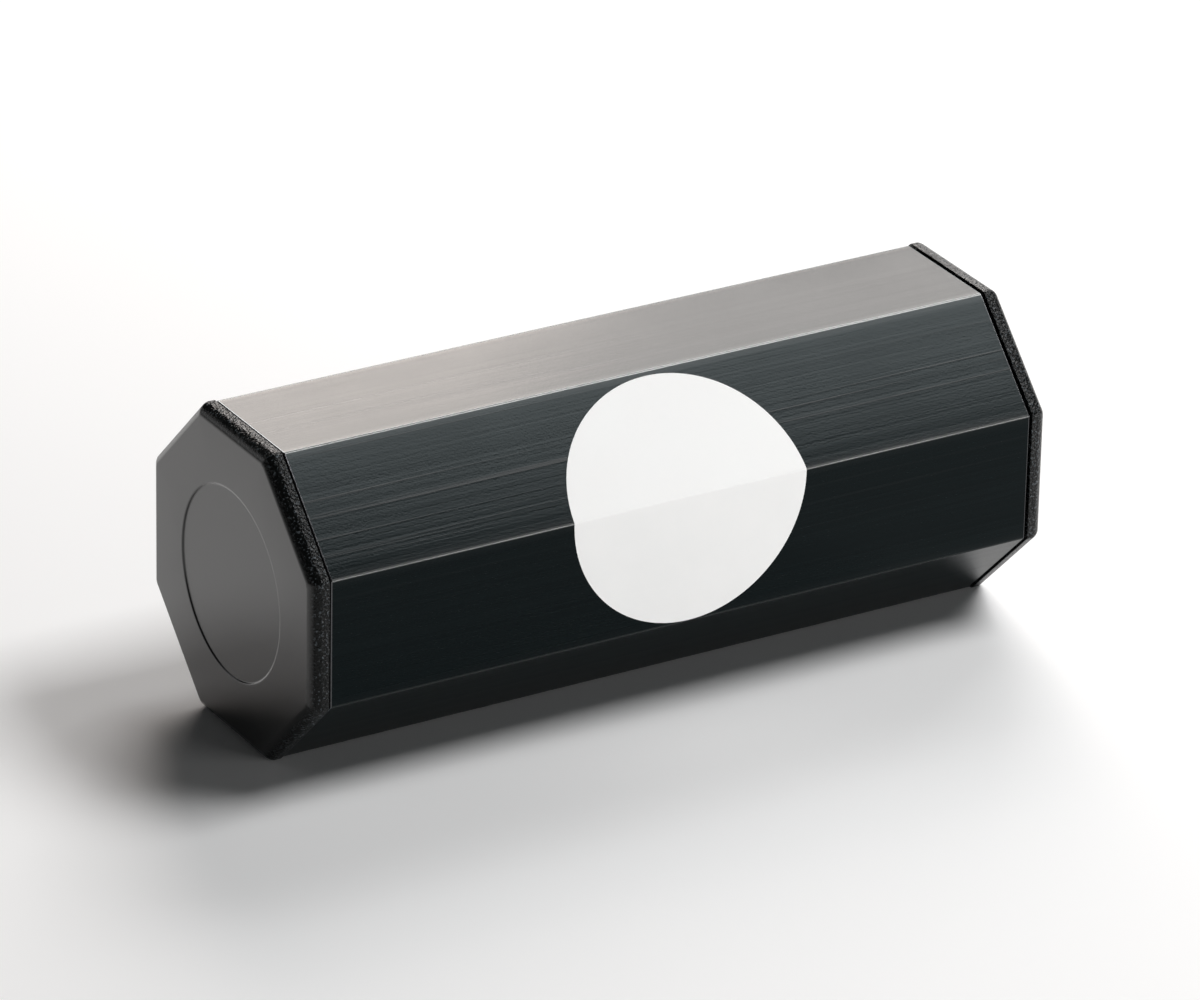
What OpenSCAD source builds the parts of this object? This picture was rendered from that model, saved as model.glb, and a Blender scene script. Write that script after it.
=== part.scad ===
// Octagonal metal shaker: an extruded tube, two moulded end caps and the loose shot between them.
// X runs along the tube, Z is up, and the shaker lies on the lowest flats of its two caps at Z = 0.

/* [Tube] */
// Distance between opposite flats of the tube
tube_flats = 51; // [44:0.5:64]
// Length of the sawn tube
tube_length = 124; // [100:1:180]
// Wall of the extrusion
tube_wall = 1.7; // [1.2:0.1:2.6]
// Radius along the eight outer edges of the tube
tube_edge_r = 0.5; // [0.2:0.05:1.2]
// Radius along the eight inner edges of the tube
bore_edge_r = 0.4; // [0.2:0.05:1.2]
// Chamfer where the sawn ends are deburred
tube_end_chamfer = 0.25; // [0.1:0.05:0.4]

/* [Cap flange] */
// Thickness of the flange outside the tube
flange_t = 3.0; // [2.2:0.1:4]
// How far each flange flat stands proud of the tube
flange_proud = 0.25; // [0.1:0.05:0.8]
// Least flat left on the side of the rim behind its round-over
rim_flat = 0.5; // [0.1:0.05:1]
// Radius at the eight corners of the flange outline
flange_corner_r = 1.0; // [0.3:0.1:3]
// Angle at which the round-over meets the flat faces, as mould draft
rim_draft = 14; // [2:1:20]
// Width of the shadow gap between flange and tube end
shadow_gap = 0.3; // [0.2:0.05:1.2]
// How deep the shadow gap goes in from the flats of the tube
shadow_gap_depth = 0.9; // [0.4:0.1:1.1]
// Diameter of the round panel sunk in the outer face
panel_d = 31; // [20:1:38]
// Depth of that panel
panel_depth = 0.25; // [0.1:0.05:0.5]
// Thickness of the cap's end wall
end_wall = 2.0; // [1.4:0.1:2.8]

/* [Cap plug] */
// How far the plug reaches into the tube
plug_depth = 8; // [5:0.5:14]
// Wall of the hollow plug
plug_wall = 1.6; // [1.2:0.1:2.4]
// Clearance between plug and bore on each side
plug_clearance = 0.3; // [0.2:0.05:0.5]
// Chamfer that leads the plug into the tube
plug_lead_in = 0.8; // [0.4:0.1:1.1]
// Width of the grip rib on each side of the plug
rib_w = 2.2; // [1:0.1:4]
// Space left between a grip rib and the bore
rib_gap = 0.05; // [0.02:0.01:0.1]

/* [Shot] */
// Diameter of a steel ball
shot_d = 6; // [4:0.5:7]
// Number of rows that the balls lie in
shot_rows = 5; // [3:2:7]
// Number of balls in a row
row_balls = 7; // [3:1:9]
// Play between a ball and the wall or ball next to it
shot_play = 0.1; // [0.05:0.05:0.3]

/* [Hidden] */
$fn = 96;
sides = 8;
turn = 360 / sides;
half_turn = turn / 2;
arc_steps = 4;
// Reach of a cutter past what it cuts, and overlap of two features of one moulding
over = 1;
fuse = 0.5;

axis_z = tube_flats / 2 + flange_proud;
bore_flats = tube_flats - 2 * tube_wall;
flange_flats = tube_flats + 2 * flange_proud;
seat_flats = tube_flats - 2 * shadow_gap_depth;
plug_flats = bore_flats - 2 * plug_clearance;
hollow_flats = plug_flats - 2 * plug_wall;
cap_face_x = shadow_gap + flange_t;
rib_rise = plug_clearance - rib_gap;

// The round-over takes up the rim but for its flat, and meets both faces at the draft angle.
rim_r = flange_t - rim_flat;
rim_shift = rim_r * (1 - cos(rim_draft));
rim_x = cap_face_x - rim_r + rim_shift;
rim_z = flange_flats / 2 - rim_r + rim_shift;

// Shot: the centres of the balls follow the bore at one ball radius plus play from its flats.
path_apothem = bore_flats / 2 - shot_d / 2 - shot_play;
path_half_flat = path_apothem * tan(half_turn);
row_step = (shot_d + shot_play) / cos(half_turn);
ball_step = shot_d + shot_play;
row_length = (row_balls - 1) * ball_step + shot_d;
row_travel = tube_length / 2 - plug_depth - shot_play - row_length / 2;

function shot_name(r, i) = str("shot_", chr(97 + r), "_", i);

// Place of a point on the bottom of the balls' path, at a run s from the middle of the lowest flat
function path_y(s) = sign(s) * (min(abs(s), path_half_flat)
    + max(abs(s) - path_half_flat, 0) * cos(turn));
function path_z(s) = max(abs(s) - path_half_flat, 0) * sin(turn) - path_apothem;

// Where a row rests along the tube: the rows stop at different places within their travel.
function row_rest(r) = 0.45 * row_travel * sin(143 * r + 20);

// Octagon across its flats, with each corner an arc of radius r
function octagon_points(flats, r) = [
    for (k = [0 : sides - 1], j = [0 : arc_steps])
        let (
            mid = half_turn + k * turn,
            a = mid + turn * (j / arc_steps - 0.5),
            c = (flats / 2 - r) / cos(half_turn)
        )
        [c * cos(mid) + r * cos(a), c * sin(mid) + r * sin(a)]
];

module octagon(flats, r) {
    polygon(octagon_points(flats, r));
}

// Extrudes a cross-section along X from x0 to x1
module along_x(x0, x1) {
    translate([x0, 0, 0])
        rotate([90, 0, 90])
            linear_extrude(height = x1 - x0)
                children();
}

// Block with chamfers c0 and c1 at its two ends, across each pair of opposite flats
module end_trim(flats, x0, x1, c0, c1) {
    h = flats / 2;
    intersection_for (a = [0 : turn : 180 - turn])
        rotate([a, 0, 0])
            rotate([90, 0, 0])
                linear_extrude(height = 2 * flats, center = true)
                    polygon([
                        [x0, h - c0],
                        [x0 + c0 + over, h + over],
                        [x1 - c1 - over, h + over],
                        [x1, h - c1],
                        [x1, c1 - h],
                        [x1 - c1 - over, -h - over],
                        [x0 + c0 + over, -h - over],
                        [x0, c0 - h]
                    ]);
}

module tube() {
    end = tube_length / 2;
    color("#34383a")
        translate([0, 0, axis_z])
            intersection() {
                along_x(-end - over, end + over)
                    difference() {
                        octagon(tube_flats, tube_edge_r);
                        octagon(bore_flats, bore_edge_r);
                    }
                end_trim(tube_flats, -end, end, tube_end_chamfer, tube_end_chamfer);
            }
}

// What is cut away along one side of the rim to leave the round-over
module rim_cut() {
    difference() {
        translate([rim_x, -flange_flats, rim_z])
            cube([rim_r + over, 2 * flange_flats, rim_r + over]);
        translate([rim_x, 0, rim_z])
            rotate([90, 0, 0])
                cylinder(r = rim_r, h = 2 * flange_flats + 2 * over, center = true);
    }
}

module flange() {
    difference() {
        along_x(shadow_gap, cap_face_x)
            octagon(flange_flats, flange_corner_r);
        for (k = [0 : sides - 1])
            rotate([k * turn, 0, 0])
                rim_cut();
        translate([cap_face_x - panel_depth, 0, 0])
            rotate([0, 90, 0])
                cylinder(d = panel_d, h = panel_depth + over);
    }
}

// Ring that seats on the sawn end and sets the shadow gap
module seat() {
    along_x(0, shadow_gap + fuse)
        octagon(seat_flats, tube_edge_r);
}

module plug() {
    intersection() {
        along_x(-plug_depth - over, shadow_gap + over)
            octagon(plug_flats, bore_edge_r);
        end_trim(plug_flats, -plug_depth, shadow_gap + fuse, plug_lead_in, fuse);
    }
    for (k = [0 : sides - 1])
        rotate([k * turn, 0, 0])
            translate([plug_lead_in - plug_depth, -rib_w / 2, plug_flats / 2 - plug_wall / 2])
                cube([plug_depth - plug_lead_in, rib_w, plug_wall / 2 + rib_rise]);
}

// Cap drawn for the right end, with the sawn tube end at X = 0
module cap_moulding() {
    difference() {
        union() {
            flange();
            seat();
            plug();
        }
        along_x(-plug_depth - over, cap_face_x - end_wall)
            octagon(hollow_flats, bore_edge_r);
    }
}

module right_end_cap() {
    color("#232323")
        translate([tube_length / 2, 0, axis_z])
            cap_moulding();
}

module left_end_cap() {
    color("#232323")
        translate([-tube_length / 2, 0, axis_z])
            rotate([0, 0, 180])
                cap_moulding();
}

module shot_ball(r, i) {
    s = (r - (shot_rows - 1) / 2) * row_step;
    x = row_rest(r) + (i - (row_balls + 1) / 2) * ball_step;
    color("#b9bcc0")
        translate([x, path_y(s), axis_z + path_z(s)])
            sphere(d = shot_d);
}

tube();
left_end_cap();
right_end_cap();
for (r = [0 : shot_rows - 1], i = [1 : row_balls])
    shot_ball(r, i);
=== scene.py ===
"""Octagonal metal shaker: black anodised tube, two moulded end caps, a plain white printed roundel, loose shot."""
from math import cos, pi, radians, sin, tan

import bmesh
import bpy
from mathutils import Matrix, Quaternion, Vector


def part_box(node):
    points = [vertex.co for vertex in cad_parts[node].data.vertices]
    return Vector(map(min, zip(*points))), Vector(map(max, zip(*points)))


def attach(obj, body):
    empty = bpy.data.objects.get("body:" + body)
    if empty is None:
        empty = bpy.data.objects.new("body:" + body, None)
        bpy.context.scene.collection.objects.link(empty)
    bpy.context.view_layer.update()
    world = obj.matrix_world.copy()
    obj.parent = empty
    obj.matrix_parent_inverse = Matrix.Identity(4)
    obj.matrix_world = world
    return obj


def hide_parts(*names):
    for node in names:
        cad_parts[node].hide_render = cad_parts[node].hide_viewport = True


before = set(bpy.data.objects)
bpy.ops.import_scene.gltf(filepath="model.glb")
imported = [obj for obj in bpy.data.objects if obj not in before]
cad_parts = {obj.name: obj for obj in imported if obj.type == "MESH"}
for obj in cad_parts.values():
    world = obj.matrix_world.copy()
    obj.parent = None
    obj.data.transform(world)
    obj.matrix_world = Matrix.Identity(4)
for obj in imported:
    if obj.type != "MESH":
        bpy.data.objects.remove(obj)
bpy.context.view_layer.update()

# Sizes in metres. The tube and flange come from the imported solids, the rest repeats the part's own values.
tube_low, tube_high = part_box("tube")
cap_low, cap_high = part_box("left_end_cap")
axis_z = (tube_low.z + tube_high.z) / 2
tube_centre = Vector((0, 0, axis_z))
tube_end = tube_high.x
tube_flats = tube_high.z - tube_low.z
tube_wall = 0.0017
tube_edge_r = 0.0005
deburr = 0.00025
flange_flats = cap_high.z - cap_low.z
cap_face_x = cap_low.x
shadow_gap = 0.0003
seat_flats = 0.0492
plug_flats = 0.0470
hollow_flats = 0.0438
plug_depth = 0.008
lead_in = 0.0008
rib_width = 0.0022
rib_rise = 0.00025
end_wall = 0.002
flange_corner_r = 0.001
back_edge_break = 0.0001
rim_r = 0.0025
rim_draft = radians(14)
panel_r = 0.0155
panel_depth = 0.00025
print_r = 0.0206
print_x = 0.00055
print_drop = 0.00036
ink_film = 0.00003

# Soft lip of the sunk panel: steps out from the panel's radius, and down from the face
panel_lip = [(0.00035, 0), (0.00015, 0.00003), (0.00005, 0.00008), (0, 0.00014),
             (-0.00005, 0.0002), (-0.00015, 0.000235), (-0.00035, panel_depth)]

# How finely curves are cut
edge_segments = 5
rim_steps = 8
panel_sides = 96
print_sides = 192
fold_steps = 6

# How near counts as the same when faces, edges and points are picked
same_point = 1e-7
same_plane = 1e-6
same_line = 1e-5
least_run = 1e-4
squarely = 0.99

eighth_turn = pi / 4
flat_turns = [eighth_turn * k for k in range(8)]
shade_smooth_to = radians(35)

# Camera, as the photograph was taken: a long lens from the front left, above the tube. Angles are in radians.
camera_azimuth, camera_elevation, camera_roll = -0.540851, 0.444245, 0.020988
camera_distance = 1.31254
camera_sensor_mm, camera_lens_mm = 36, 254.12
camera_shift_x, camera_shift_y = -0.0017, -0.00336
camera_near, camera_far = 0.05, 50


def set_camera():
    back = Vector((sin(camera_azimuth) * cos(camera_elevation),
                   -cos(camera_azimuth) * cos(camera_elevation), sin(camera_elevation)))
    right = Vector((0, 0, 1)).cross(back).normalized()
    stand = Matrix((right, back.cross(right), back)).transposed() @ Matrix.Rotation(camera_roll, 3, "Z")
    put_down()
    bpy.ops.object.camera_add()
    camera = bpy.context.object
    camera.name = "photo_camera"
    camera.matrix_world = Matrix.Translation(tube_centre + back * camera_distance) @ stand.to_4x4()
    camera.data.sensor_fit = "HORIZONTAL"
    camera.data.sensor_width = camera_sensor_mm
    camera.data.lens = camera_lens_mm
    camera.data.shift_x, camera.data.shift_y = camera_shift_x, camera_shift_y
    camera.data.clip_start, camera.data.clip_end = camera_near, camera_far
    bpy.context.scene.camera = camera


# Modelling helpers
def put_down():
    """Leaves edit mode with nothing selected."""
    if bpy.context.object and bpy.context.object.mode == "EDIT":
        bpy.ops.object.mode_set(mode="OBJECT")
    bpy.ops.object.select_all(action="DESELECT")


def flat_out(turn):
    """Outward direction of one of the eight flats."""
    return Vector((0, -sin(turn), cos(turn)))


def reach(point):
    """How far a point lies from the tube's axis, measured square to the nearest flat."""
    return max((point - tube_centre).dot(flat_out(turn)) for turn in flat_turns)


def pick(kind, choose):
    """Selects the faces, edges or points that are chosen from the mesh in hand."""
    bpy.ops.mesh.select_mode(type=kind)
    bpy.ops.mesh.select_all(action="DESELECT")
    mesh = bmesh.from_edit_mesh(bpy.context.edit_object.data)
    for chosen in choose(mesh):
        chosen.select_set(True)
    mesh.select_flush_mode()
    bmesh.update_edit_mesh(bpy.context.edit_object.data)


def pick_faces(test):
    """Picks faces by their middle and their outward direction."""
    pick("FACE", lambda mesh: [face for face in mesh.faces if test(face.calc_center_median(), face.normal)])


def pick_edges(test):
    """Picks edges by their two ends."""
    pick("EDGE", lambda mesh: [edge for edge in mesh.edges if test(edge.verts[0].co, edge.verts[1].co)])


def pick_points(test):
    """Picks points by their place."""
    pick("VERT", lambda mesh: [point for point in mesh.verts if test(point.co)])


def along_axis(a, b):
    return abs(a.x - b.x) > least_run


def at_x(x, *points):
    return all(abs(point.x - x) < same_plane for point in points)


def scale_section(ratio):
    bpy.ops.transform.resize(value=(1, ratio, ratio), center_override=(0, 0, axis_z))


def pull(shift):
    bpy.ops.mesh.extrude_region_move(TRANSFORM_OT_translate={"value": (shift, 0, 0)})


def step_in(flats, to_flats):
    """Leaves a step round the picked face, which goes from one size across its flats to another."""
    pull(0)
    scale_section(to_flats / flats)


def octagon_bar(name, flats, x0, x1):
    """Eight-sided bar along X with a flat on top, left in edit mode."""
    put_down()
    bpy.ops.mesh.primitive_cylinder_add(vertices=8, radius=flats / 2 / cos(pi / 8), depth=x1 - x0,
                                        rotation=(0, 0, pi / 8))
    bar = bpy.context.object
    bar.name = bar.data.name = name
    bpy.ops.object.transform_apply(location=False, rotation=True, scale=False)
    bar.rotation_euler = (0, pi / 2, 0)
    bar.location = ((x0 + x1) / 2, 0, axis_z)
    bpy.ops.object.transform_apply(location=True, rotation=True, scale=False)
    bpy.ops.object.mode_set(mode="EDIT")
    return bar


def round_off(radius):
    """Rounds the picked edges between two flats at an eighth of a turn."""
    bpy.ops.mesh.bevel(offset_type="OFFSET", offset=radius * tan(pi / 8), segments=edge_segments, profile=0.5,
                       affect="EDGES", clamp_overlap=False)


def break_edges(width):
    """Takes the sharpness off the picked edges."""
    bpy.ops.mesh.bevel(offset_type="OFFSET", offset=width, segments=2, profile=0.5, affect="EDGES")


def finish_surface(piece):
    """Smooth shading that leaves the flats flat."""
    bpy.ops.object.mode_set(mode="OBJECT")
    bpy.ops.object.shade_smooth_by_angle(angle=shade_smooth_to)
    weigh = piece.modifiers.new("flats_lead", "WEIGHTED_NORMAL")
    weigh.weight = 100
    weigh.keep_sharp = True
    bpy.ops.object.modifier_apply(modifier=weigh.name)
    put_down()
    return piece


# Pieces
def make_tube():
    tube = octagon_bar("tube_extrusion", tube_flats, -tube_end, tube_end)
    pick_edges(along_axis)
    round_off(tube_edge_r)
    pick_edges(lambda a, b: not along_axis(a, b))
    break_edges(deburr)
    # Sawn ends are opened and joined by the bore
    pick_faces(lambda c, n: abs(n.x) > squarely and abs(c.x) > tube_end - same_plane)
    step_in(tube_flats - 2 * deburr, tube_flats - 2 * tube_wall)
    bpy.ops.mesh.bridge_edge_loops()
    bpy.ops.mesh.select_all(action="SELECT")
    bpy.ops.mesh.normals_make_consistent(inside=False)
    return finish_surface(tube)


def round_rim():
    """Round-over of the rim, pulled out towards the face in steps, with the draft left at both ends."""
    turns = [rim_draft + (pi / 2 - 2 * rim_draft) * step / rim_steps for step in range(rim_steps + 1)]
    pick_faces(lambda c, n: n.x < -squarely)
    for start, stop in zip(turns, turns[1:]):
        inward = [flange_flats / 2 - rim_r * (cos(rim_draft) - cos(turn)) for turn in (start, stop)]
        pull(-rim_r * (sin(stop) - sin(start)))
        scale_section(inward[1] / inward[0])


def sink_panel():
    """Takes out the face that the rim was pulled from, and fills it again round a panel sunk with a soft lip."""
    bpy.ops.mesh.delete(type="ONLY_FACE")
    bpy.ops.mesh.select_all(action="DESELECT")
    face_centre = Vector((cap_face_x, 0, axis_z))
    lip_r = panel_r + panel_lip[0][0]
    bpy.ops.mesh.primitive_circle_add(vertices=panel_sides, radius=lip_r, fill_type="NOTHING",
                                      location=(cap_face_x, 0, axis_z), rotation=(0, pi / 2, 0))
    pick_edges(lambda a, b: at_x(cap_face_x, a, b))
    bpy.ops.mesh.fill()
    pick_edges(lambda a, b: all(abs((end - face_centre).length - lip_r) < same_line for end in (a, b)))
    for (out0, deep0), (out1, deep1) in zip(panel_lip, panel_lip[1:]):
        bpy.ops.mesh.extrude_edges_move(TRANSFORM_OT_translate={"value": (deep1 - deep0, 0, 0)})
        scale_section((panel_r + out1) / (panel_r + out0))
    bpy.ops.mesh.edge_face_add()


def pull_plug(back_x):
    """Seat, plug and hollow, pulled one after the other from the back of the flange."""
    tip_flats = plug_flats - 2 * lead_in
    pick_faces(lambda c, n: n.x > squarely and at_x(back_x, c))
    step_in(flange_flats, seat_flats)
    pull(shadow_gap)
    step_in(seat_flats, plug_flats)
    pull(plug_depth - lead_in)
    pull(lead_in)
    scale_section(tip_flats / plug_flats)
    step_in(tip_flats, hollow_flats)
    pull(cap_face_x + end_wall - (plug_depth - tube_end))


def raise_rib(turn):
    """Grip rib along the middle of one flat of the plug."""
    out = flat_out(turn)
    side = Vector((1, 0, 0)).cross(out)

    def on_flat(c, n):
        return n.dot(out) > squarely and abs((c - tube_centre).dot(out) - plug_flats / 2) < same_line

    for edge in (-rib_width / 2, rib_width / 2):
        pick_faces(on_flat)
        bpy.ops.mesh.bisect(plane_co=tube_centre + side * edge, plane_no=side)
    pick_faces(lambda c, n: on_flat(c, n) and abs((c - tube_centre).dot(side)) < rib_width / 4)
    bpy.ops.mesh.extrude_region_move(TRANSFORM_OT_translate={"value": out * rib_rise})


def make_left_cap():
    back_x = -tube_end - shadow_gap
    rim_x = cap_face_x + rim_r * (cos(rim_draft) - sin(rim_draft))
    cap = octagon_bar("left_cap_moulding", flange_flats, rim_x, back_x)
    pick_edges(along_axis)
    round_off(flange_corner_r)
    round_rim()
    sink_panel()
    pull_plug(back_x)
    for turn in flat_turns:
        raise_rib(turn)

    # The back edge of the flange is broken a little
    pick_edges(lambda a, b: at_x(back_x, a, b) and min(reach(a), reach(b)) > flange_flats / 2 - least_run)
    break_edges(back_edge_break)
    bpy.ops.mesh.select_all(action="SELECT")
    bpy.ops.mesh.remove_doubles(threshold=same_point)
    bpy.ops.mesh.normals_make_consistent(inside=False)
    return finish_surface(cap)


def turn_copy(piece, name):
    """The same moulding, turned round for the other end."""
    put_down()
    piece.select_set(True)
    bpy.context.view_layer.objects.active = piece
    bpy.ops.object.duplicate(linked=False)
    copy = bpy.context.object
    copy.name = copy.data.name = name
    copy.rotation_euler = (0, 0, pi)
    bpy.ops.object.transform_apply(location=False, rotation=True, scale=False)
    put_down()
    return copy


def make_roundel():
    """White disc printed across one edge of the tube: cut flat, folded round the edge, then given its film."""
    put_down()
    along = Vector((1, 0, 0))
    out = flat_out(1.5 * eighth_turn)
    up = out.cross(along)
    crest = tube_centre + out * ((tube_flats / 2 - tube_edge_r) / cos(pi / 8) + tube_edge_r)
    bpy.ops.mesh.primitive_circle_add(vertices=print_sides, radius=print_r, fill_type="NGON")
    disc = bpy.context.object
    disc.name = disc.data.name = "printed_roundel"
    disc.matrix_world = (Matrix.Translation(crest + along * print_x - up * print_drop)
                         @ Matrix((along, up, out)).transposed().to_4x4())
    bpy.ops.object.transform_apply(location=True, rotation=True, scale=True)
    bpy.ops.object.mode_set(mode="EDIT")
    fold = eighth_turn / fold_steps
    lines = [tube_edge_r * tan(fold / 2) * k for k in range(fold_steps - 1, 0, -2)]
    for side in (1, -1):
        for line in lines:
            bpy.ops.mesh.select_all(action="SELECT")
            bpy.ops.mesh.bisect(plane_co=crest + up * side * line, plane_no=up)
    for side in (1, -1):
        for line in lines:
            hinge = crest + up * side * line
            pick_points(lambda p: side * (p - hinge).dot(up) > same_point)
            bpy.ops.transform.rotate(value=side * fold, orient_axis="X", center_override=hinge)
    bpy.ops.object.mode_set(mode="OBJECT")
    film = disc.modifiers.new("ink_film", "SOLIDIFY")
    film.thickness = ink_film
    film.offset = 1
    film.use_even_offset = True
    bpy.ops.object.modifier_apply(modifier=film.name)
    return finish_surface(disc)


# Shader building
def place(tree, kind, values=None, **settings):
    node = tree.nodes.new(kind)
    for name, value in settings.items():
        setattr(node, name, value)
    for name, value in (values or {}).items():
        node.inputs[name].default_value = value
    return node


def wire(tree, *pairs):
    for start, stop in pairs:
        tree.links.new(start, stop)


def sum_up(tree, operation, a, b):
    """One Math node; a and b are sockets or plain numbers."""
    node = place(tree, "ShaderNodeMath", operation=operation)
    for slot, value in zip(node.inputs, (a, b)):
        if isinstance(value, (int, float)):
            slot.default_value = value
        else:
            tree.links.new(value, slot)
    return node.outputs[0]


def add(tree, first, *rest):
    for value in rest:
        first = sum_up(tree, "ADD", first, value)
    return first


def times(tree, first, *rest):
    for value in rest:
        first = sum_up(tree, "MULTIPLY", first, value)
    return first


def remap(tree, value, low, high, to_low, to_high):
    node = place(tree, "ShaderNodeMapRange",
                 {"From Min": low, "From Max": high, "To Min": to_low, "To Max": to_high})
    tree.links.new(value, node.inputs["Value"])
    return node.outputs["Result"]


def split_place(tree, where):
    """The X, Y and Z of a place."""
    node = place(tree, "ShaderNodeSeparateXYZ")
    tree.links.new(where, node.inputs[0])
    return node.outputs


def open_group(name, inputs, outputs):
    group = bpy.data.node_groups.new(name, "ShaderNodeTree")
    group.interface.new_socket("Vector", in_out="INPUT", socket_type="NodeSocketVector")
    for label, value in inputs:
        group.interface.new_socket(label, in_out="INPUT", socket_type="NodeSocketFloat").default_value = value
    for label in outputs:
        group.interface.new_socket(label, in_out="OUTPUT", socket_type="NodeSocketFloat")
    return group, place(group, "NodeGroupInput"), place(group, "NodeGroupOutput")


def lengthwise_lines_group():
    """Lines that the die and the brush leave along the tube, fine or broad by the count across."""
    line_low, streak_low, full = 0.3, 0.61, 0.7
    group, given, made = open_group("lengthwise_lines", [("Along", 8), ("Across", 2000)], ["Lines", "Streaks"])
    stretch = place(group, "ShaderNodeCombineXYZ")
    spread = place(group, "ShaderNodeVectorMath", operation="MULTIPLY")
    noise = place(group, "ShaderNodeTexNoise", {"Scale": 1, "Detail": 3, "Roughness": 0.65})
    wire(group, (given.outputs["Along"], stretch.inputs["X"]), (given.outputs["Across"], stretch.inputs["Y"]),
         (given.outputs["Across"], stretch.inputs["Z"]), (given.outputs["Vector"], spread.inputs[0]),
         (stretch.outputs[0], spread.inputs[1]), (spread.outputs[0], noise.inputs["Vector"]))
    wire(group, (remap(group, noise.outputs["Fac"], line_low, full, 0, 1), made.inputs["Lines"]),
         (remap(group, noise.outputs["Fac"], streak_low, full, 0, 1), made.inputs["Streaks"]))
    return group


def handling_marks_group():
    """Soft uneven patches that handling leaves in a finish."""
    mark_low, mark_full = 0.35, 0.65
    group, given, made = open_group("handling_marks", [("Patches", 60)], ["Marks"])
    noise = place(group, "ShaderNodeTexNoise", {"Detail": 4, "Roughness": 0.6})
    wire(group, (given.outputs["Vector"], noise.inputs["Vector"]), (given.outputs["Patches"], noise.inputs["Scale"]),
         (remap(group, noise.outputs["Fac"], mark_low, mark_full, 0, 1), made.inputs["Marks"]))
    return group


def fine_grain_group():
    """Pebbled grain of a spark-eroded mould, a printed film or a satin finish."""
    noise_to_pebbles, pebble_share = 0.8, 0.6
    sparkle_low, sparkle_full = 0.58, 0.68
    group, given, made = open_group("fine_grain", [("Pebbles", 2500)], ["Grain", "Sparkle"])
    cells = place(group, "ShaderNodeTexVoronoi", {"Randomness": 1}, feature="SMOOTH_F1")
    noise = place(group, "ShaderNodeTexNoise", {"Detail": 2, "Roughness": 0.5})
    wire(group, (given.outputs["Vector"], cells.inputs["Vector"]), (given.outputs["Pebbles"], cells.inputs["Scale"]),
         (given.outputs["Vector"], noise.inputs["Vector"]),
         (times(group, given.outputs["Pebbles"], noise_to_pebbles), noise.inputs["Scale"]))
    grain = add(group, times(group, cells.outputs["Distance"], pebble_share), noise.outputs["Fac"])
    wire(group, (grain, made.inputs["Grain"]),
         (remap(group, noise.outputs["Fac"], sparkle_low, sparkle_full, 0, 1), made.inputs["Sparkle"]))
    return group


def open_material(name, constants):
    material = bpy.data.materials.new(name)
    material.use_nodes = True
    tree = material.node_tree
    tree.nodes.clear()
    shader = place(tree, "ShaderNodeBsdfPrincipled", constants)
    surface = place(tree, "ShaderNodeOutputMaterial")
    where = place(tree, "ShaderNodeTexCoord")
    wire(tree, (shader.outputs["BSDF"], surface.inputs["Surface"]))
    return material, tree, shader, where.outputs["Object"]


def use_group(tree, group, where, **values):
    node = place(tree, "ShaderNodeGroup", node_tree=group)
    tree.links.new(where, node.inputs["Vector"])
    for name, value in values.items():
        node.inputs[name].default_value = value
    return node.outputs


def mix_colour(tree, share, a, b):
    node = place(tree, "ShaderNodeMix", data_type="RGBA")
    for slot, value in ((node.inputs["Factor"], share), (node.inputs[6], a), (node.inputs[7], b)):
        if isinstance(value, tuple):
            slot.default_value = (*value, 1)
        else:
            tree.links.new(value, slot)
    return node.outputs[2]


def bump(tree, shader, height, strength, distance):
    node = place(tree, "ShaderNodeBump", {"Strength": strength, "Distance": distance})
    wire(tree, (height, node.inputs["Height"]), (node.outputs["Normal"], shader.inputs["Normal"]))


def from_axis_squared(tree, where):
    """Distance from the tube's axis, squared."""
    across = place(tree, "ShaderNodeVectorMath", operation="SUBTRACT")
    across.inputs[1].default_value = tube_centre
    section = place(tree, "ShaderNodeVectorMath", operation="MULTIPLY")
    section.inputs[1].default_value = (0, 1, 1)
    square = place(tree, "ShaderNodeVectorMath", operation="DOT_PRODUCT")
    wire(tree, (where, across.inputs[0]), (across.outputs[0], section.inputs[0]),
         (section.outputs[0], square.inputs[0]), (section.outputs[0], square.inputs[1]))
    return square.outputs["Value"]


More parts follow.
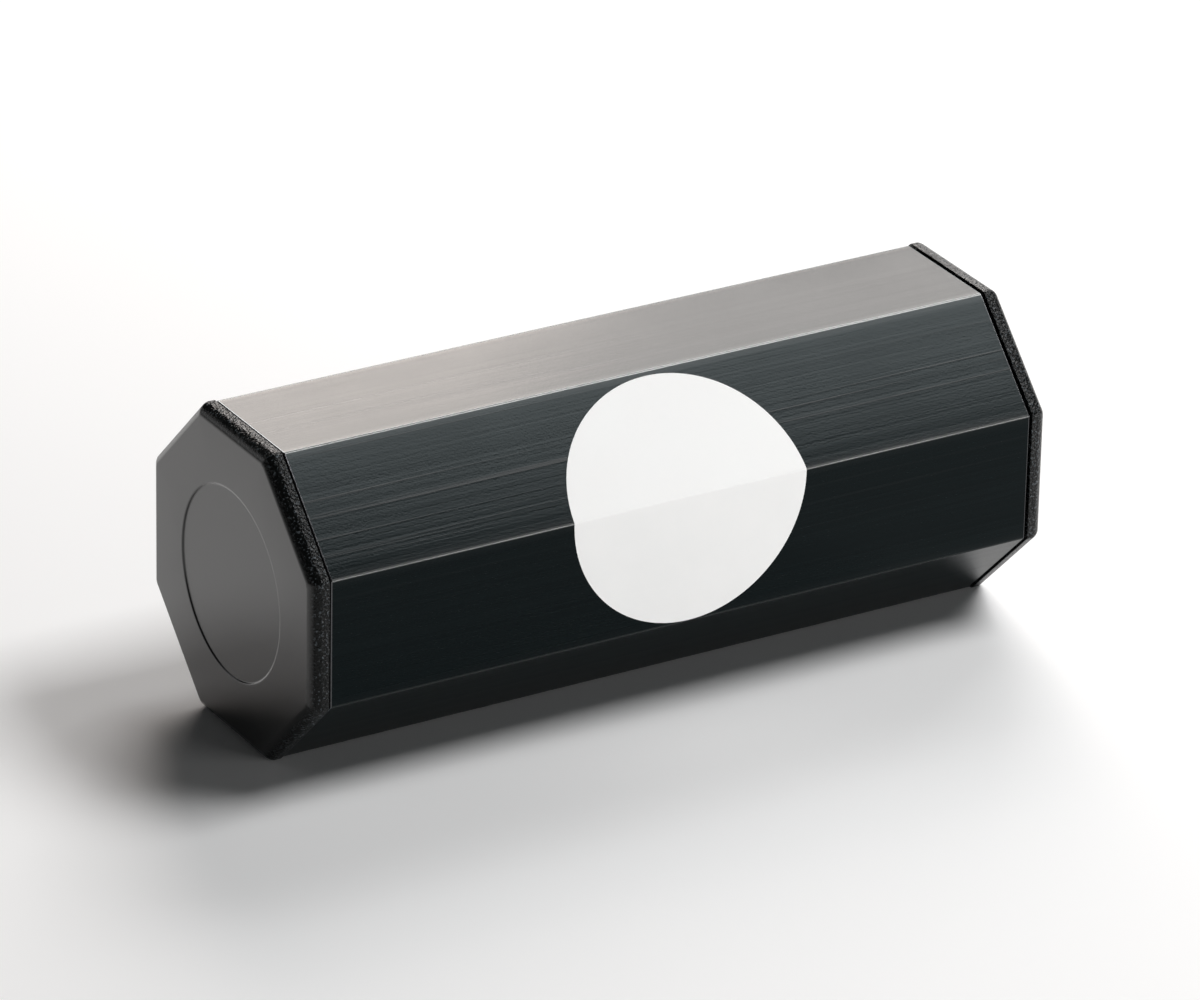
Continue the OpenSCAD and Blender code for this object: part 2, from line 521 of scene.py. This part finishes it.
# Finishes
def anodised_black(lines_group, marks_group, grain_group):
    deep_black, line_black, score_black = (0.0005, 0.0023, 0.0028), (0.0022, 0.0049, 0.0055), (0.006, 0.006, 0.006)
    # The pale grey for the edges is partly worn metal and partly a painted highlight.
    worn_metal_and_edge_highlight, bare_metal = (0.24, 0.24, 0.235), (0.09, 0.09, 0.094)
    # Distances from the middle of a flat, and heights above the floor, in metres
    rub_from, rub_full = 0.0091, 0.0101
    wear_and_highlight_from, wear_and_highlight_full = 0.01027, 0.01047
    wear_and_highlight_low_z, wear_and_highlight_high_z = axis_z - 0.0115, axis_z + 0.0255
    score_low_z, score_high_z = axis_z + 0.010, axis_z + 0.011
    dash_height, broad_height, long_height, score_height, satin_height = 1.8e-6, 6e-6, 3.5e-6, 4e-6, 7e-6
    crown_slope, crown_curve = -0.35, -2600

    material, tree, shader, where = open_material("black_anodised_drawn", {
        "IOR": 1.5, "Specular IOR Level": 0.09, "Specular Tint": (0.85, 0.97, 1, 1),
        "Coat IOR": 1.5, "Coat Roughness": 0.14})
    dashes = use_group(tree, lines_group, where, Along=14, Across=2800)
    long = use_group(tree, lines_group, where, Along=5, Across=1500)
    broad = use_group(tree, lines_group, where, Along=2, Across=430)
    satin = use_group(tree, grain_group, where, Pebbles=3400)
    marks = use_group(tree, marks_group, where, Patches=45)
    spot = split_place(tree, where)
    lines = add(tree, times(tree, dashes["Lines"], 0.6), times(tree, broad["Lines"], 0.4))
    # Scores show on the upper flats and fade on the ones below
    scores = times(tree, long["Streaks"], remap(tree, dashes["Lines"], 0, 0.6, 0.5, 1),
                   remap(tree, spot["Z"], score_low_z, score_high_z, 0.15, 1))

    # How far a point of a flat lies from the middle of that flat, squared: nought in the middle, most at the edges.
    off_middle = sum_up(tree, "SUBTRACT", from_axis_squared(tree, where), (tube_flats / 2) ** 2)

    # The deburred sawn ends show bare metal. The edges are paler, partly from worn finish and partly as a painted
    # highlight, which is strongest on the upper edges.
    bare = remap(tree, sum_up(tree, "ABSOLUTE", spot["X"], 0),
                 tube_end - deburr * 1.05, tube_end - deburr * 0.95, 0, 1)
    edge_wear_and_highlight = times(tree, remap(tree, off_middle, wear_and_highlight_from ** 2, wear_and_highlight_full ** 2, 0, 1),
                 remap(tree, spot["Z"], wear_and_highlight_low_z, wear_and_highlight_high_z, 0.04, 1))
    rubbed = remap(tree, off_middle, rub_from ** 2, rub_full ** 2, 0, 0.07)
    black = mix_colour(tree, lines, deep_black, line_black)
    scored = mix_colour(tree, scores, black, score_black)
    thinned = mix_colour(tree, edge_wear_and_highlight, scored, worn_metal_and_edge_highlight)
    wire(tree, (mix_colour(tree, bare, thinned, bare_metal), shader.inputs["Base Color"]),
         (add(tree, times(tree, bare, 0.9), times(tree, edge_wear_and_highlight, 0.5)), shader.inputs["Metallic"]),
         (sum_up(tree, "MAXIMUM", times(tree, scores, 0.18), rubbed), shader.inputs["Coat Weight"]))
    rough = add(tree, remap(tree, lines, 0, 1, 0.12, 0.2), times(tree, scores, 0.14), times(tree, marks["Marks"], 0.03))
    wire(tree, (rough, shader.inputs["Roughness"]))

    # Heights in metres: drawn lines, satin grain, raised scores, and flats that fall away a little to their edges
    ridges = add(tree, times(tree, dashes["Lines"], dash_height), times(tree, broad["Lines"], broad_height),
                 times(tree, satin["Grain"], satin_height))
    raised = add(tree, times(tree, long["Lines"], long_height), times(tree, scores, score_height))
    crown = add(tree, times(tree, off_middle, crown_slope),
                times(tree, sum_up(tree, "POWER", off_middle, 2), crown_curve))
    bump(tree, shader, add(tree, ridges, raised, crown), 1, 1)
    return material


def cap_plastic(grain_group, marks_group):
    dark_tint, light_tint, glint_grey = (0.0036, 0.0042, 0.0042), (0.0052, 0.0058, 0.0057), (0.13, 0.15, 0.165)
    # Where the grain begins and is full: behind the face, and out from the panel, in metres
    behind_from, behind_full = 0.0001, 0.0007
    past_from, past_full = panel_r + 0.001, panel_r + 0.002
    grain_height = 0.00018

    material, tree, shader, where = open_material("moulded_black_plastic", {
        "IOR": 1.5, "Specular IOR Level": 0.15, "Coat IOR": 1.5, "Coat Roughness": 0.2})
    grain = use_group(tree, grain_group, where, Pebbles=3000)
    polish = use_group(tree, grain_group, where, Pebbles=9000)
    marks = use_group(tree, marks_group, where, Patches=70)
    spot = split_place(tree, where)

    # The outer face and its sunk panel are smooth, the rim round them is grained.
    behind_face = remap(tree, sum_up(tree, "ABSOLUTE", spot["X"], 0),
                        -cap_face_x - behind_from, -cap_face_x - behind_full, 0, 1)
    past_panel = remap(tree, from_axis_squared(tree, where), past_from ** 2, past_full ** 2, 0, 1)
    rim = times(tree, behind_face, past_panel)
    tint = mix_colour(tree, marks["Marks"], dark_tint, light_tint)
    # The light grey specks on the grained rim are painted glints of its pebbles, put into the base colour.
    painted_glints = times(tree, grain["Sparkle"], rim, 0.5)
    rough = add(tree, remap(tree, rim, 0, 1, 0.22, 0.19), times(tree, marks["Marks"], 0.05))
    wire(tree, (mix_colour(tree, painted_glints, tint, glint_grey), shader.inputs["Base Color"]),
         (rough, shader.inputs["Roughness"]), (remap(tree, rim, 0, 1, 0.82, 0), shader.inputs["Coat Weight"]))
    bump(tree, shader, add(tree, times(tree, grain["Grain"], rim), times(tree, polish["Grain"], 0.02)), 1, grain_height)
    return material


def white_ink(grain_group, marks_group):
    ink_white, handled_white = (0.87, 0.87, 0.86), (0.89, 0.885, 0.875)
    grain_height = 0.00003

    material, tree, shader, where = open_material("white_printing_ink", {"IOR": 1.48})
    grain = use_group(tree, grain_group, where, Pebbles=3200)
    marks = use_group(tree, marks_group, where, Patches=90)
    wire(tree, (mix_colour(tree, marks["Marks"], ink_white, handled_white), shader.inputs["Base Color"]),
         (remap(tree, marks["Marks"], 0, 1, 0.42, 0.5), shader.inputs["Roughness"]))
    bump(tree, shader, grain["Grain"], 0.15, grain_height)
    return material


def polished_steel(lines_group, marks_group):
    dull_steel, bright_steel = (0.56, 0.57, 0.58), (0.66, 0.665, 0.67)
    scuff_height = 0.00001

    material, tree, shader, where = open_material("bearing_steel", {"Metallic": 1})
    marks = use_group(tree, marks_group, where, Patches=400)
    scuffs = use_group(tree, lines_group, where, Along=900, Across=3500)
    rough = add(tree, remap(tree, marks["Marks"], 0, 1, 0.12, 0.2), times(tree, scuffs["Streaks"], 0.12))
    wire(tree, (mix_colour(tree, marks["Marks"], dull_steel, bright_steel), shader.inputs["Base Color"]),
         (rough, shader.inputs["Roughness"]))
    bump(tree, shader, scuffs["Lines"], 0.1, scuff_height)
    return material


def dress(piece, material):
    piece.data.materials.clear()
    piece.data.materials.append(material)


# Studio
def softbox(name, place_at, aim, width, height, radiance, colour=(1, 1, 1), skew=0):
    """Area lamp of a given brightness, at a place and facing a point."""
    put_down()
    bpy.ops.object.light_add(type="AREA", location=place_at)
    lamp = bpy.context.object
    lamp.name = lamp.data.name = name
    lamp.rotation_mode = "QUATERNION"
    away = Vector(place_at) - Vector(aim)
    lamp.rotation_quaternion = away.to_track_quat("Z", "Y") @ Quaternion((0, 0, 1), skew)
    lamp.data.shape = "RECTANGLE"
    lamp.data.size, lamp.data.size_y = width, height
    lamp.data.energy = radiance * pi * width * height
    lamp.data.color = colour


def set_studio():
    warm, amber, air = (1, 0.95, 0.92), (1, 0.85, 0.75), (0.94, 0.98, 1, 1)
    put_down()
    bpy.ops.mesh.primitive_plane_add(size=12)
    floor = bpy.context.object
    floor.name = floor.data.name = "studio_floor"
    dress(floor, open_material("pale_floor", {
        "Roughness": 0.9, "Specular IOR Level": 0.1, "Base Color": (0.95, 0.95, 0.95, 1)})[0])
    softbox("back_softbox", (0.56, 0.92, 0.63), tube_centre, 0.5, 0.40, radiance=7.7, colour=warm)
    softbox("back_left_softbox", (0.42, 0.95, 0.63), tube_centre, 0.24, 0.40, radiance=4.0, colour=amber)
    softbox("overhead_softbox", (0.69, -0.283, 1.10), (0.69, -0.283, 0), 0.54, 0.66, radiance=12.5, skew=-0.15)
    softbox("edge_softbox", (0.84, 0.93, 1.14), tube_centre, 0.9, 0.46, radiance=7.5)
    softbox("front_softbox", (0.95, -1.10, 0.10), (0, 0, 0.10), 1.2, 0.18, radiance=17.0)
    softbox("left_softbox", (-0.80, 0.97, 0.33), tube_centre, 0.5, 0.34, radiance=0.8)
    softbox("low_softbox", (0.80, 1.00, 0.20), tube_centre, 0.5, 0.16, radiance=3.0)
    world = bpy.data.worlds.new("studio_air")
    world.use_nodes = True
    sky = world.node_tree.nodes["Background"]
    sky.inputs["Color"].default_value = air
    sky.inputs["Strength"].default_value = 0.03
    bpy.context.scene.world = world
    bpy.context.scene.view_settings.view_transform = "Standard"


set_camera()
set_studio()
lines_group, marks_group, grain_group = lengthwise_lines_group(), handling_marks_group(), fine_grain_group()
tube_finish = anodised_black(lines_group, marks_group, grain_group)
cap_finish = cap_plastic(grain_group, marks_group)
ink_finish = white_ink(grain_group, marks_group)
shot_finish = polished_steel(lines_group, marks_group)

tube_piece = make_tube()
left_cap = make_left_cap()
right_cap = turn_copy(left_cap, "right_cap_moulding")
roundel = make_roundel()
for piece, finish, stands_for, slot_name in (
    (tube_piece, tube_finish, "tube", "black_anodised"),
    (left_cap, cap_finish, "left_end_cap", "cap_plastic"),
    (right_cap, cap_finish, "right_end_cap", "cap_plastic"),
):
    dress(piece, finish)
    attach(piece, "shell")
    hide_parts(stands_for)
dress(roundel, ink_finish)
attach(roundel, "shell")
for name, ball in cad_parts.items():
    if name.startswith("shot_"):
        dress(ball, shot_finish)
